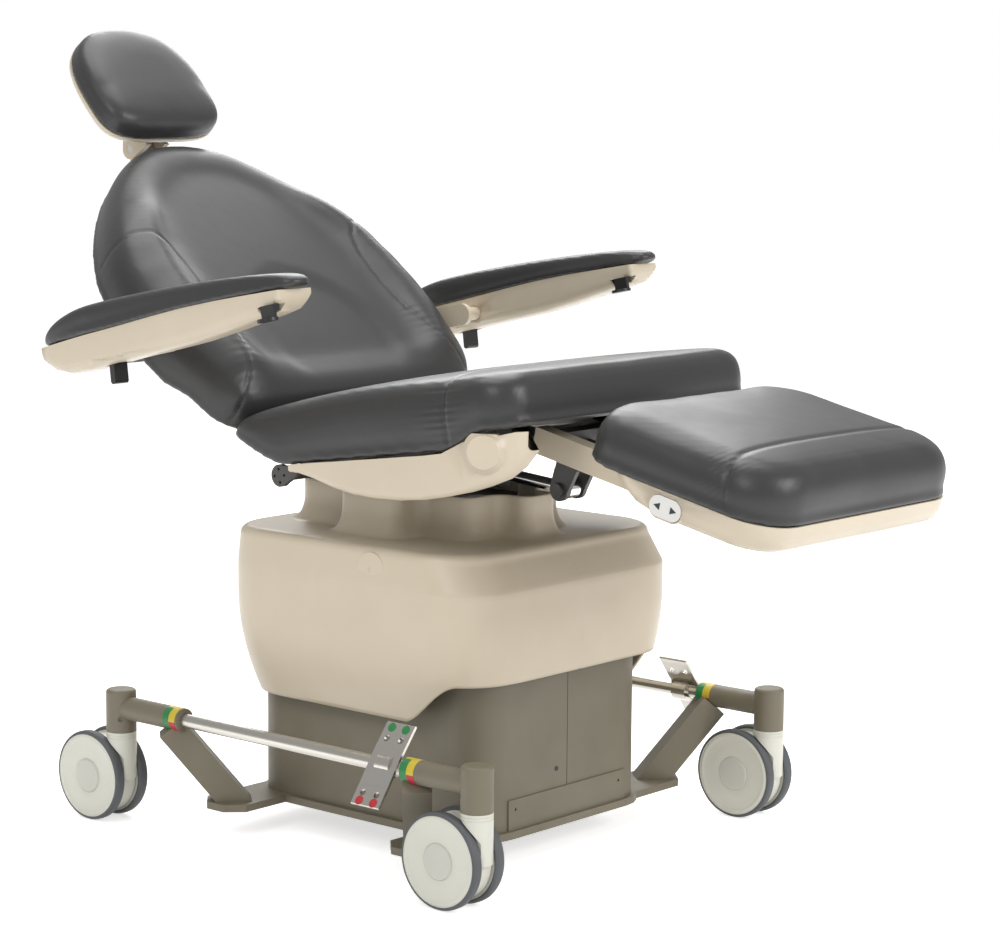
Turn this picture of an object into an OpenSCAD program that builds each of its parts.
// Powered procedure chair: a wheeled base, a lifting carriage with its moulded cover, and a seat
// with a hinged back, two swinging arm rests, a sliding head rest and a leg rest that extends.
// The foot end points along -Y, the patient's right hand side lies at -X, and the floor is z = 0.

/* [Placing] */
// Shift of the whole chair toward its head end, which puts its middle over the origin
mid_shift = -3; // [-60:1:60]

/* [Base] */
// Thickness of the base plate
plate_t = 10; // [6:1:14]
// Height of the base plate's underside above the floor
plate_z = 36; // [30:1:42]
// Lip of the base plate round the skirt
plate_lip = 8; // [5:1:14]
// Length of each cross bar, across the chair
bar_l = 560; // [540:2:580]
// Width of each cross bar
bar_w = 76; // [66:2:86]
// Distance of each cross bar from the middle of the wheels
bar_y = 172; // [160:1:178]
// Width of the skirt
skirt_w = 349; // [340:1:360]
// Length of the skirt, from its front to its back
skirt_l = 425; // [410:1:440]
// Corner radius of the skirt
skirt_r = 53; // [40:1:70]
// Place of the skirt's middle, from the middle of the wheels toward the head end
skirt_y = -5; // [-15:1:5]
// Wall of the skirt
skirt_wall = 3; // [2:0.5:4]
// Height of the skirt's top edge above the floor
skirt_top = 340; // [320:1:350]
// Height of the kick panel
kick_h = 41; // [30:1:60]
// Width of the kick panel
kick_w = 244; // [200:2:244]
// Thickness of the kick panel
kick_t = 2.5; // [1.5:0.5:4]

/* [Outriggers] */
// Distance of each caster post from the middle, across the chair
post_x = 309; // [302:1:316]
// Distance of each caster post from the middle, along the chair
post_y = 328; // [316:1:340]
// Diameter of a caster post
post_d = 42; // [40:1:46]
// Height of a post's lower end above the floor
post_bottom = 128.3; // [126:0.1:132]
// Height of a post's upper end above the floor
post_top = 187.5; // [182:0.5:195]
// Rounding of a post's rim
post_rim = 5; // [2:0.5:8]
// Diameter of the tube that carries a brake rod
tube_d = 32; // [28:1:36]
// Height of the tubes' axis above the floor
tube_z = 162; // [156:1:166]
// Distance of the front tubes' ends from the middle
tube_front = 221; // [214:1:230]
// Distance of the rear tubes' ends from the middle
tube_rear = 200; // [194:1:210]
// Side of a square strut
strut_w = 38; // [32:1:42]
// Distance of each strut's foot from the middle, across the chair
foot_x = 245; // [238:1:252]
// Distance of each strut's upper end from the middle, along the chair
strut_y = 228; // [222:1:236]

/* [Casters] */
// Diameter of a wheel
wheel_d = 125; // [120:1:126]
// Distance of a wheel's axle behind its post
trail = 39.7; // [36:0.1:42]
// Width of one wheel
wheel_w = 17; // [14:0.5:17.5]
// Width over both wheels of a caster
twin_w = 60.4; // [58:0.2:64]
// Radial thickness of a tyre
tyre_t = 5; // [4:0.5:7]
// Diameter of a hub cap
hub_cap_d = 46; // [36:1:56]
// Height of a hub cap above its disc
hub_cap_t = 1.2; // [0.6:0.2:2]
// Diameter of an axle
axle_d = 8; // [6:1:10]
// Diameter of a caster stem
stem_d = 20; // [14:1:24]
// Length of a caster stem inside its post
stem_l = 42; // [30:1:50]
// Diameter of the disc shaped part of a caster body
body_disc_d = 108; // [90:1:112]

/* [Brakes] */
// Diameter of a brake rod
rod_d = 19; // [14:1:22]
// Length of a brake rod inside each tube
rod_seat = 26; // [15:1:40]
// Width of a pedal along its rod
pedal_w = 48; // [40:1:56]
// Thickness of a pedal plate
pedal_t = 4; // [3:0.5:5]
// Distance of a pedal's middle from the middle of the wheels, toward the foot end
pedal_y = 178; // [170:1:185]

/* [Column] */
// Side of the fixed column
column_w = 150; // [140:1:160]
// Wall of the fixed column
column_wall = 6; // [4:0.5:8]
// Wall of the sliding column
slide_wall = 5; // [4:0.5:7]
// Place of the column's axis, from the middle of the wheels toward the head end
column_y = 30; // [20:1:36]
// Height of the fixed column's top above the floor
column_top = 385; // [370:1:388]
// Height of the sliding column's lower end above the floor
slide_bottom = 100; // [98:1:110]
// Thickness of the head plate on the sliding column
head_plate_t = 8; // [6:1:12]
// Height of the head plate's underside above the floor
head_plate_z = 440; // [438:1:446]
// Diameter of the lift spindle
spindle_d = 20; // [14:1:26]

/* [Cover] */
// Wall of the cover
cover_wall = 4; // [3:0.5:5]
// Width of the cover at its crease
cover_w = 450; // [440:1:456]
// Length of the cover at its crease
cover_l = 470; // [460:1:480]
// Corner radius of the cover at its crease
cover_r = 78; // [66:1:90]
// Place of the cover's middle at its crease, toward the head end
cover_y = -6.5; // [-12:0.5:0]
// Height of the deck above the floor
deck_z = 420; // [412:1:426]
// Height of the deck's upper slope
slope_h = 38; // [30:1:44]
// Distance by which the front slopes in over that height
slope_in = 25; // [15:1:32]
// Rounding of the deck's edge
deck_edge = 12; // [8:1:14]
// Height above the floor at which the lower taper starts
taper_z = 330; // [310:1:350]
// Height of the lower edge at the front
sweep_top = 248; // [240:1:256]
// Height of the cover's lower edge above the floor, at its sides
skirt_edge_z = 190; // [180:1:200]
// Distance by which each side draws in below the taper
taper_in = 24; // [14:1:26]
// Distance by which the rear draws in below the taper
taper_back_in = 12; // [8:1:14]
// Diameter of a cover plug
plug_d = 47; // [36:1:56]
// Height of the neck's top above the floor
neck_z = 476; // [472:1:482]
// Width of the cove between the deck and the neck
cove_r = 18; // [8:1:19]
// Height of that cove
cove_h = 34; // [20:1:38]

/* [Seat] */
// Slope of the seat, raised toward the knees, in degrees
seat_slope = 8.7; // [6:0.1:10]
// Place of the seat's front edge, toward the head end
seat_y = -320; // [-330:1:-310]
// Height of the seat's front edge above the floor
seat_z = 597; // [592:1:606]
// Half width of the seat cushion
seat_half = 262; // [258:1:268]
// Length of the seat cushion
seat_l = 515; // [508:1:516]
// Height of the seat cushion's edge above the seat's own plane
seat_h = 74; // [66:1:84]
// Thickness of the seat pan
pan_t = 6; // [3:0.5:6]
// Half width of the seat pan
pan_half = 240; // [236:1:240]
// Wall of a side cover
side_wall = 3.5; // [2.5:0.5:4.5]
// Diameter of a round cap on a side cover
cap_d = 44; // [38:1:48]
// Diameter of the seat's tilt pin
tilt_pin_d = 20; // [16:1:24]
// Diameter of the back's hinge pins
back_pin_d = 22; // [18:1:23]
// Diameter of the leg rest's hinge pin
leg_pin_d = 16; // [12:1:18]

/* [Back] */
// Lean of the back above the horizontal, in degrees
back_lean = 40; // [36:0.5:42]
// Length of the back cushion
back_l = 530; // [515:1:534]
// Half width of the back cushion at its widest
back_half = 273; // [266:1:276]
// Thickness of the back cushion
back_pad_t = 65; // [56:1:66]
// Height of the side bolsters above the middle of the back
bolster_h = 15; // [8:1:20]
// Depth of the moulded rear shell
back_shell_t = 14.7; // [12:0.1:14.7]
// Wall of the moulded rear shell
back_shell_wall = 3; // [2.5:0.5:4]
// Width of the flat bars of the back frame
back_bar_w = 24; // [20:1:26]
// Thickness of the back's hinge arms
back_arm_t = 7.5; // [5:0.5:7.5]
// Diameter of an arm rest's pin
arm_pin_d = 20; // [16:1:24]

/* [Arm rests] */
// Distance of each arm rest from the middle of the chair
arm_x = 355; // [350:1:362]
// Slope of the arm rests, raised toward the hands, in degrees
arm_slope = 12.9; // [8:0.1:16]
// Length of an arm pad
arm_l = 497; // [480:1:510]
// Width of an arm pad
arm_pad_w = 70; // [64:1:80]
// Width of an arm shell
arm_shell_w = 60; // [56:1:64]
// Wall of an arm shell
arm_wall = 3; // [2:0.5:4]
// Thickness of an arm pad
arm_pad_h = 40; // [30:1:46]

/* [Head rest] */
// Lean of the head rest above the horizontal, in degrees
head_lean = 47.7; // [40:0.1:56]
// Half width of the head cushion
head_half = 114; // [105:1:125]
// Height of the head cushion
head_l = 200; // [185:1:212]
// Thickness of the head cushion
head_pad_t = 40; // [34:1:44]
// Depth of the shell behind the head cushion
head_shell_t = 24; // [18:1:28]
// Width of the head rest's slide bar
head_bar_w = 40; // [30:1:42]

/* [Leg rest] */
// Slope of the leg rest, lowered toward the foot, in degrees
leg_slope = 12.2; // [10:0.1:14]
// Length of each leg beam
beam_l = 294; // [280:1:300]
// Width of each leg beam
beam_w = 24; // [20:1:26]
// Depth of each leg beam
beam_h = 34; // [30:1:36]
// Half width of the foot cushion
foot_half = 208; // [200:1:215]
// Length of the foot cushion
foot_l = 301; // [290:1:310]
// Thickness of the foot cushion
foot_h = 70; // [60:1:76]
// Wall of the foot rest's shell
foot_wall = 3; // [2:0.5:4]
// Length of the two way switch
switch_l = 48; // [40:1:54]
// Height of the two way switch
switch_h = 27; // [22:1:28]
// Diameter of the leg drive's chrome rod
drive_rod_d = 17; // [12:1:18]
// Diameter of the leg drive's body
drive_d = 40; // [34:1:42]

/* [Hidden] */
// Fits and running gaps
run_fit = 0.05;
strap_relief = 0.02;
gap = 0.3;
overrun = 2;
bolt_d = 12;
edge = 1.5;

// Colours as photographed
cream = "#d6c9b3";
taupe = "#77705f";
upholstery = "#505050";
caster_white = "#dcdbcf";
tyre_grey = "#55575a";
bright_steel = "#c4c2bc";
dark_steel = "#3a3937";
black_plastic = "#1d1c1b";

// Base
plate_top = plate_z + plate_t;
bar_chamfer = 22;
column_flange = 190;
column_flange_t = 8;
glide_w = 24;
shroud_gap = 3;
shroud_wall = 2.5;
shroud_bottom = 118;
shroud_top = 385;
seam_w = 1.2;
seam_depth = 1;
inlet_w = 48;
inlet_h = 30;
inlet_z = 70;
inlet_depth = 26;
inlet_rim = 4;
inlet_socket_w = 26;
inlet_socket_h = 18;
inlet_pin_w = 4;
inlet_pin_t = 2;
inlet_pin_pitch = 7;

// Outriggers
strut_top_z = tube_z - tube_d * 3 / 8;
strut_run_x = post_x - foot_x;
strut_run_y = strut_y - bar_y;
strut_rise = strut_top_z - plate_top;
set_screw_d = 7;
set_screw_depth = 2.5;
set_screw_z = 148;

// Casters
wheel_r = wheel_d / 2;
rim_r = wheel_r - tyre_t;
twin_inner = twin_w / 2 - wheel_w;
body_half = twin_inner - 1.6;
wheel_room = 2;
axle_seat = 3;
groove = 0.7;
groove_pitch = 4;
stem_play = 1;
body_top = post_bottom - gap;

// Brakes: a pedal plate's ends and bends, from its rod's axis, as [outward, upward]
pedal_hub_d = 29;
pedal_top = [-25, 48];
pedal_mid = [2, 13.5];
pedal_low = [24, -19];
pedal_foot = [42, -44];
pedal_hole_d = 9;

// Column
slide_w = column_w - 2 * column_wall - 2 * gap;
nut_z = slide_bottom + 50;
nut_t = 12;
spindle_top = 388;
lift_motor_d = 80;
lift_motor_h = 50;

// Cover
cover_front = cover_y - cover_l / 2;
cover_back = cover_y + cover_l / 2;
crease_z = deck_z - deck_edge - slope_h;
side_in = 3;
taper_front_in = 14;
sweep_front = 178;
sweep_run = 70;
plug_y = -65;
plug_z = 390;
plug_depth = 3;
plug_proud = 0.7;

// The neck's corners on the left side, front to back, as [across, along, radius]
nose_half = 32;
nose_y = -172;
shoulder_half = 96;
shoulder_y = -124;
box_half = 149;
box_front_y = -38.5;
box_back_y = 68;
tail_half = 110;
tail_y = 185;
neck_r = 18;
neck_inner_r = 20;
tail_r = 30;
neck_left = [
    [nose_half, nose_y, neck_r],
    [nose_half, shoulder_y, neck_inner_r],
    [shoulder_half, shoulder_y, neck_r],
    [shoulder_half, box_front_y, neck_inner_r],
    [box_half, box_front_y, neck_r],
    [box_half, box_back_y, neck_r],
    [tail_half, box_back_y, neck_inner_r],
    [tail_half, tail_y, tail_r]
];
neck_corners = concat(neck_left, [for (k = [len(neck_left) - 1 : -1 : 0]) across(neck_left[k])]);
neck_edge = 2.5;

// Tilt yoke and seat frame
tilt_y = 140;
tilt_z = 470;
yoke_x = 60;
yoke_t = 12;
yoke_l = 44;
ear_t = 12;
rail_x = 120;
rail_w = 30;
rail_low = -32;
rail_front = 104;
rail_back = 467;
pan_low = 8;
pan_front = 14;
pan_back = 430;
recess_back = 478;
pan_corner_r = 60;
cross_w = 30;
cross_low = -24;
cross_y = 385;
back_pivot = [451, -4];
pin_out = 7;
leg_pivot = [124.2, -18.4];
bracket_low = -33;
bracket_high = -24;
bracket_w = 26;
bracket_front = 190;
bracket_back = 318;
dark_plate_x = 242;
dark_plate_t = 8;
dark_plate_at = [406, -33];
dark_plate_d = 30;
dark_plate_tail = [378, -30];
dark_plate_tail_d = 12;
dark_plate_hole_d = 4;
dark_spacer_w = 16;
drive_pivot = [370.9, -30.6];

// Seat cushion
seat_front_over = 18;
seat_corner_r = 52;
lip_low = -19;
lip_front = 3;
lip_back = 23;
lip_front_start = 30;
lip_front_end = 105;
lip_back_start = 385;
lip_back_end = 495;
roll_gap = 1.8;
arm_slot_top = 30.5;
seat_fall = 19.3;
seat_fall_start = 80;
seat_fall_run = 364;
seat_channel = 2.2;
seat_channel_y = 92;

// Side covers: height of the upper edge and of the lower edge at places along the chair
side_x = seat_half;
side_roll = 12;
side_stations = [
    // place, upper edge, lower edge, distance by which the face draws in
    [48, 521.5, 511.5, 0],
    [30, 524, 511, 0],
    [8, 527.5, 506, 0],
    [-29, 532.5, 496.8, 0],
    [-64, 537.5, 491.8, 0],
    [-100, 542.5, 490.6, 0],
    [-145, 549, 492.6, 0],
    [-188, 555, 498, 0],
    [-222, 561, 505, 1],
    [-255, 578, 513.5, 4],
    [-282, 585, 523, 10],
    [-305, 590, 533.5, 18],
    [-322, 594.5, 549, 27],
    [-334, 595.5, 569, 35]
];
boss_d = 56;
boss_at = [250, -285, 568];
boss_turn = 24;
boss_out = 4;
boss_in = 6;
boss_top = 590.9;
cap_t = 3;

// Back
back_y = 150;
back_z = 600;
back_start = -7;
hub_r = 17;
back_arm_x = 112;
elbow = -35;
frame_front = -back_pad_t - gap - back_shell_t;
frame_mid = frame_front - back_bar_w / 2;
upright_end = 230;
tie_low = 100;
tie_high = 190;
back_lip = 14.2;
back_lip_start = 60;
back_lip_end = 120;
spine_half = 25;
spine_wall = 4;
spine_start = 60;
spine_end = 430;
arm_bar_x = 293;
arm_bar_t = 8;

// Width of the back at shares of its length, as a share of its half width
back_outline_shares = [
    [0, 0.66], [0.006, 0.76], [0.03, 0.85], [0.08, 0.915], [0.19, 0.96], [0.28, 0.992], [0.38, 1],
    [0.48, 0.985], [0.57, 0.945], [0.645, 0.875], [0.72, 0.785], [0.8, 0.665], [0.87, 0.54],
    [0.93, 0.405], [0.97, 0.28], [0.992, 0.16], [1, 0.06]
];

// Arm rests: pivot in the side view, and heights along an arm from its pivot
arm_pivot = [238, 676];
arm_back = 171;
arm_front = arm_back - arm_l;
arm_hub_d = 30;
arm_mount_w = 32;
// Share of the arm's length from its rear, height of the shell's upper edge and of its lower edge
arm_shares = [
    [0.016, 19.5, 9], [0.026, 19.7, -3.5], [0.06, 20.5, -15], [0.11, 21.6, -22.6], [0.2, 23.2, -23],
    [0.33, 24.3, -20.5], [0.48, 26.2, -20.2], [0.6, 27, -19.4], [0.72, 25.8, -15.5], [0.82, 23.6, -11],
    [0.9, 21.6, -7.4], [0.93, 20.9, -5.5], [0.95, 20.3, 2], [0.961, 20, 9]
];
arm_pad_low = 22;
arm_crown_y = 60;
arm_thin_front = 22;
arm_thin_back = 18;
slot_start = 20;
slot_end = 60;
slot_front = arm_front + slot_start;
slot_back = arm_front + slot_end;
slot_h = 9;
slot_z = -0.5;
knob_start = 37;
knob_y = arm_front + knob_start;
knob_d = 28;
knob_t = 4;
knob_low = -17;
knob_stem = 6;
knob_l = 22;
latch_pin = [41.8, -13.5];
latch_hub_d = 12;
latch_pin_d = 6;
latch_l = 30;
latch_w = 24;
latch_t = 9;
latch_slot_l = 30;

// Head rest
head_rise = -0.253;
head_out = 28.699;
head_origin = in_back([back_start + back_l + head_rise, head_out]);
head_y = head_origin[0];
head_z = head_origin[1];
head_wide_share = 0.38;
head_low_power = 3.9;
head_high_power = 2.5;
head_ear_tip = [9, -58];
head_pin_rise = 41.447;
head_pin_out = -58.508;
head_pivot = in_back([back_start + back_l + head_pin_rise, head_pin_out]);
head_pin_d = 12;
head_bar_t = 15.4;
head_bar_start = 250;
head_bar_room = 60;
head_bar_past = 25;
head_bar_end = back_start + back_l + head_bar_past;
knuckle_r = 15;
knuckle_w = 26;
head_ear_t = 9;
head_plate_w = 72;
head_plate_l = 70;

// Leg rest
beam_x = 76;
beam_low = -3;
beam_start = -36;
knuckle_x = 62;
knuckle_d = 34;
clevis = [-29.7, -66.2];
clevis_x = 14;
clevis_t = 7;
clevis_r = 15;
clevis_top_front = -118;
clevis_top_back = -38;
eye_w = 20;
eye_r = 13;
bolt_head_t = 6;
bolt_head_d = 19;
slide_rail_x = 60;
slide_rail_start = -118;
slide_rail_end = -400;
slide_plate_start = -250;
slide_plate_t = 6;
slide_bar_l = 24;
foot_back = -187;
foot_low = 50.5;
foot_r = 58;
foot_floor = 11;
foot_bar_y = -366;
foot_shell_stations = [
    // height, rear edge, front edge, half width, corner radius
    [11, -300, -455, 178, 40],
    [14, -281, -472, 193, 46],
    [22, -258, -484, 203, 52],
    [35, -238, -489, 207, 55],
    [50.2, -222, -490, 207.5, 56]
];
switch_y = -338;
switch_z = 31;
switch_rim = 2.5;
switch_t = 7;
switch_cup = 16;
switch_floor = 3;
switch_proud = 1.5;
switch_ridge = 4;
drive_body_back = 18;

// Lifted from the side view: [along, up] of a point given in the seat's, back's or leg's own axes
function turned(p, a) = [p[0] * cos(a) - p[1] * sin(a), p[0] * sin(a) + p[1] * cos(a)];
function in_seat(p) = [seat_y, seat_z] + turned(p, -seat_slope);
function in_back(p) = [back_y, back_z] + turned(p, back_lean);
function to_back(p) = turned(p - [back_y, back_z], -back_lean);
function to_head(p) = turned(p - [head_y, head_z], -head_lean);

// Mirror image of a corner on the other side of the chair
function across(corner) = [-corner[0], corner[1], corner[2]];

// Share between 0 and 1 of the way from a to b, with a soft start and end
function eased(a, b, t) = let (u = max(0, min(1, (t - a) / (b - a)))) u * u * (3 - 2 * u);

// Value at t between the pairs of a table whose first column rises or falls steadily
function looked_up(table, t, col) =
    let (up = table[len(table) - 1][0] > table[0][0],
        k = max([0, for (i = [0 : len(table) - 2]) (up ? t >= table[i][0] : t <= table[i][0]) ? i : 0]),
        u = (t - table[k][0]) / (table[k + 1][0] - table[k][0]))
    table[k][col] + (table[k + 1][col] - table[k][col]) * u;

// Corners of a rectangle of width w and length l about [0, y]
function box_corners(w, l, r, y) = [
    [w / 2, y - l / 2, r], [w / 2, y + l / 2, r], [-w / 2, y + l / 2, r], [-w / 2, y - l / 2, r]
];

// Unit step from corner a to corner b
function step_to(a, b) = let (d = [b[0] - a[0], b[1] - a[1]]) d / norm(d);

// Outline through square corners, each rounded, moved outward by grow, at height z
function outline(corners, grow, z, steps = 5) =
    let (n = len(corners))
    [for (i = [0 : n - 1])
        let (here = corners[i],
            d1 = step_to(corners[(i + n - 1) % n], here),
            d2 = step_to(here, corners[(i + 1) % n]),
            convex = d1[0] * d2[1] - d1[1] * d2[0] > 0,
            r = convex ? here[2] + grow : here[2] - grow,
            tip = [here[0], here[1]] + grow * ([d1[1], -d1[0]] + [d2[1], -d2[0]]),
            centre = tip - d1 * r + d2 * r)
        each [for (k = [0 : steps])
            let (t = 90 * k / steps, p = centre + r * (d1 * sin(t) - d2 * cos(t)))
            [p[0], p[1], z]]];

// Flat copy of an outline
function flat(ring) = [for (p = ring) [p[0], p[1]]];

// Egg shaped outline of the back and its shell, counted from the lower edge
function back_ring(share) =
    let (n = len(back_outline_shares),
        side = [for (k = [0 : n - 1], half = [0, 1])
            let (a = back_outline_shares[k], b = back_outline_shares[min(k + 1, n - 1)],
                before = back_outline_shares[max(k - 1, 0)], after = back_outline_shares[min(k + 2, n - 1)])
            if (half == 0 || k < n - 1)
                half == 0 ? a : (a + b) * 9 / 16 - (before + after) / 16],
        m = len(side))
    concat(
        [for (k = [0 : m - 1]) [side[k][1] * back_half * share, back_mid + (side[k][0] - 1 / 2) * back_l * share]],
        [for (k = [m - 1 : -1 : 0]) [-side[k][1] * back_half * share, back_mid + (side[k][0] - 1 / 2) * back_l * share]]);
back_mid = back_start + back_l / 2;

// Superellipse of half sizes a and b about [0, y]
function soft_ring(a, b, y, power, count) = [for (k = [0 : count - 1])
    let (t = 360 * k / count, c = cos(t), s = sin(t))
    [a * sign(c) * pow(abs(c), 2 / power), y + b * sign(s) * pow(abs(s), 2 / power)]];

// Rings of a pad: its outline drawn toward the centre by the first share, and raised by the second
function pad_rings(ring, centre, levels, low, high) = [for (level = levels)
    [for (p = ring)
        let (x = centre[0] + (p[0] - centre[0]) * level[0], y = centre[1] + (p[1] - centre[1]) * level[0],
            a = low(x, y), b = high(x, y))
        [x, y, a + (b - a) * level[1]]]];

// Solid through rings of equal count, listed upward, each turning left as seen from above
module loft(rings, fan = false) {
    n = len(rings[0]);
    m = len(rings);
    points = [for (ring = rings) each ring];
    low_mid = [for (k = [0 : 2]) mean([for (p = rings[0]) p[k]])];
    high_mid = [for (k = [0 : 2]) mean([for (p = rings[m - 1]) p[k]])];
    walls = [for (k = [0 : m - 2], i = [0 : n - 1])
        let (a = k * n + i, b = k * n + (i + 1) % n)
        each [[a, a + n, b + n], [a, b + n, b]]];
    low_cap = fan ? [for (i = [0 : n - 1]) [i, (i + 1) % n, m * n]] : [[for (i = [0 : n - 1]) i]];
    high_cap = fan
        ? [for (i = [0 : n - 1]) [(m - 1) * n + (i + 1) % n, (m - 1) * n + i, m * n + 1]]
        : [[for (i = [n - 1 : -1 : 0]) (m - 1) * n + i]];
    polyhedron(fan ? concat(points, [low_mid, high_mid]) : points, concat(walls, low_cap, high_cap));
}
function mean(list) = list * [for (v = list) 1] / len(list);

// Frames of the moving groups, and a mirror for the right hand side
module placed() translate([0, mid_shift, 0]) children();
module at_seat() translate([0, seat_y, seat_z]) rotate([-seat_slope, 0, 0]) children();
module at_back() translate([0, back_y, back_z]) rotate([back_lean, 0, 0]) children();
module at_head() translate([0, head_y, head_z]) rotate([head_lean, 0, 0]) children();
module at_arm() translate([0, arm_pivot[0], arm_pivot[1]]) rotate([-arm_slope, 0, 0]) children();
module at_leg() translate([0, leg_at[0], leg_at[1]]) rotate([leg_slope, 0, 0]) children();
leg_at = in_seat(leg_pivot);
back_at = in_seat(back_pivot);
back_pivot_b = to_back(back_at);
module on_side(side) {
    if (side > 0) children();
    else mirror([1, 0, 0]) children();
}
module both_sides() for (side = [-1, 1]) on_side(side) children();

// Side view shape, given as [along, up], carried across the chair from x by t
module across_chair(x, t) translate([x, 0, 0]) rotate([90, 0, 90]) linear_extrude(t) children();

// Round bar across the chair at a side view point
module pin(at, x, l, d, fn = 48) translate([x, at[0], at[1]]) rotate([0, 90, 0]) cylinder(d = d, h = l, $fn = fn);

// Block between two corners
module block(a, b) translate(a) cube(b - a);

// Flat strap of width w along side view points, round at each of them. Its straight sides lie a hair inside
// the rounds, so that they cross them and don't just touch them
module strap(points, w) {
    for (p = points) translate(p) circle(d = w, $fn = 32);
    for (k = [0 : len(points) - 2])
        let (d = points[k + 1] - points[k])
            translate(points[k]) rotate(atan2(d[1], d[0])) translate([0, strap_relief - w / 2])
                square([norm(d), w - 2 * strap_relief]);
}

// Base
module base_plate() color(taupe) placed() difference() {
    translate([0, 0, plate_z]) {
        linear_extrude(plate_t) polygon(flat(outline(box_corners(skirt_w + 2 * plate_lip,
            skirt_l + 2 * plate_lip, skirt_r + plate_lip, skirt_y), 0, 0)));
        for (s = [-1, 1]) linear_extrude(plate_t) bar_shape(s * bar_y);
    }
    translate([0, column_y, plate_z - overrun]) flange_holes(plate_t);
}
// Holes for the bolts that hold the column on the base plate
module flange_holes(t) for (x = [-1, 1], y = [-1, 1])
    translate([x * (column_flange / 2 - bolt_d), y * (column_flange / 2 - bolt_d), 0])
        cylinder(d = bolt_d - edge, h = t + 2 * overrun, $fn = 32);
module bar_shape(y) {
    x = bar_l / 2;
    h = bar_w / 2;
    polygon([[-x, y - h + bar_chamfer], [-x + bar_chamfer, y - h], [x - bar_chamfer, y - h],
        [x, y - h + bar_chamfer], [x, y + h - bar_chamfer], [x - bar_chamfer, y + h],
        [-x + bar_chamfer, y + h], [-x, y + h - bar_chamfer]]);
}

module outriggers() color(taupe) placed() for (side = [-1, 1], end = [-1, 1])
    scale_sides(side, end) outrigger(end < 0 ? tube_front : tube_rear);
module scale_sides(side, end) on_side(side) {
    if (end > 0) children();
    else mirror([0, 1, 0]) children();
}
module outrigger(tube_end) difference() {
    union() {
        translate([post_x, post_y, 0]) rotate_extrude($fn = 64) post_profile();
        translate([post_x, post_y, tube_z]) rotate([90, 0, 0])
            cylinder(d = tube_d, h = post_y - tube_end, $fn = 48);
        difference() {
            strut();
            block([foot_x - bar_w, 0, 0], [post_x + bar_w, post_y + bar_w, plate_top]);
        }
    }
    translate([post_x, tube_end - strut_w, tube_z]) rotate([-90, 0, 0])
        cylinder(d = rod_d + 2 * run_fit, h = strut_w + rod_seat + overrun, $fn = 48);
    translate([post_x, post_y, post_bottom - overrun])
        cylinder(d = stem_d + 2 * run_fit, h = stem_l + stem_play + overrun, $fn = 48);
    translate([post_x, post_y, set_screw_z]) rotate([0, 90, -45])
        translate([0, 0, post_d / 2 - set_screw_depth])
            cylinder(d = set_screw_d, h = set_screw_depth + overrun, $fn = 24);
}
module post_profile() polygon(concat(
    [[0, post_bottom], [post_d / 2, post_bottom]],
    [for (k = [0 : 4]) let (t = 90 * k / 4)
        [post_d / 2 - post_rim * (1 - cos(t)), post_top - post_rim * (1 - sin(t))]],
    [[0, post_top]]));
module strut() {
    run = norm([strut_run_x, strut_run_y]);
    l = norm([run, strut_rise]);
    translate([foot_x, bar_y, plate_top])
        rotate([0, atan2(run, strut_rise), atan2(strut_run_y, strut_run_x)])
            translate([-strut_w / 2, -strut_w / 2, -strut_w])
                cube([strut_w, strut_w, l + strut_w]);
}

module base_skirt() color(taupe) placed() difference() {
    ring_wall(skirt_w, skirt_l, skirt_r, skirt_y, skirt_wall, plate_top, skirt_top);
    for (y = [skirt_y - skirt_l / 2, skirt_y + skirt_l / 2])
        block([-seam_w / 2, y - seam_depth, plate_top + kick_h], [seam_w / 2, y + seam_depth, skirt_top + overrun]);
    block([-inlet_w / 2 - gap, skirt_y + skirt_l / 2 - skirt_wall - overrun, inlet_z - inlet_h / 2 - gap],
        [inlet_w / 2 + gap, skirt_y + skirt_l / 2 + overrun, inlet_z + inlet_h / 2 + gap]);
}
// Upright wall round a rounded rectangle
module ring_wall(w, l, r, y, wall, z0, z1) difference() {
    translate([0, 0, z0]) linear_extrude(z1 - z0) rounded(w, l, r, y);
    translate([0, 0, z0 - overrun]) linear_extrude(z1 - z0 + 2 * overrun)
        rounded(w - 2 * wall, l - 2 * wall, r - wall, y);
}
module rounded(w, l, r, y) translate([0, y]) {
    square([w - 2 * r, l], center = true);
    square([w, l - 2 * r], center = true);
    for (sx = [-1, 1], sy = [-1, 1]) translate([sx * (w / 2 - r), sy * (l / 2 - r)]) circle(r = r, $fn = 64);
}

module kick_panel() color(taupe) placed() difference() {
    face = skirt_y - skirt_l / 2;
    block([-kick_w / 2, face - kick_t, plate_top], [kick_w / 2, face, plate_top + kick_h]);
    for (x = [-1, 1]) translate([x * (kick_w / 2 - kick_h / 3), face - kick_t - overrun, plate_top + kick_h * 2 / 3])
        rotate([-90, 0, 0]) cylinder(d = bolt_d / 3, h = kick_t + 2 * overrun, $fn = 24);
}

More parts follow.
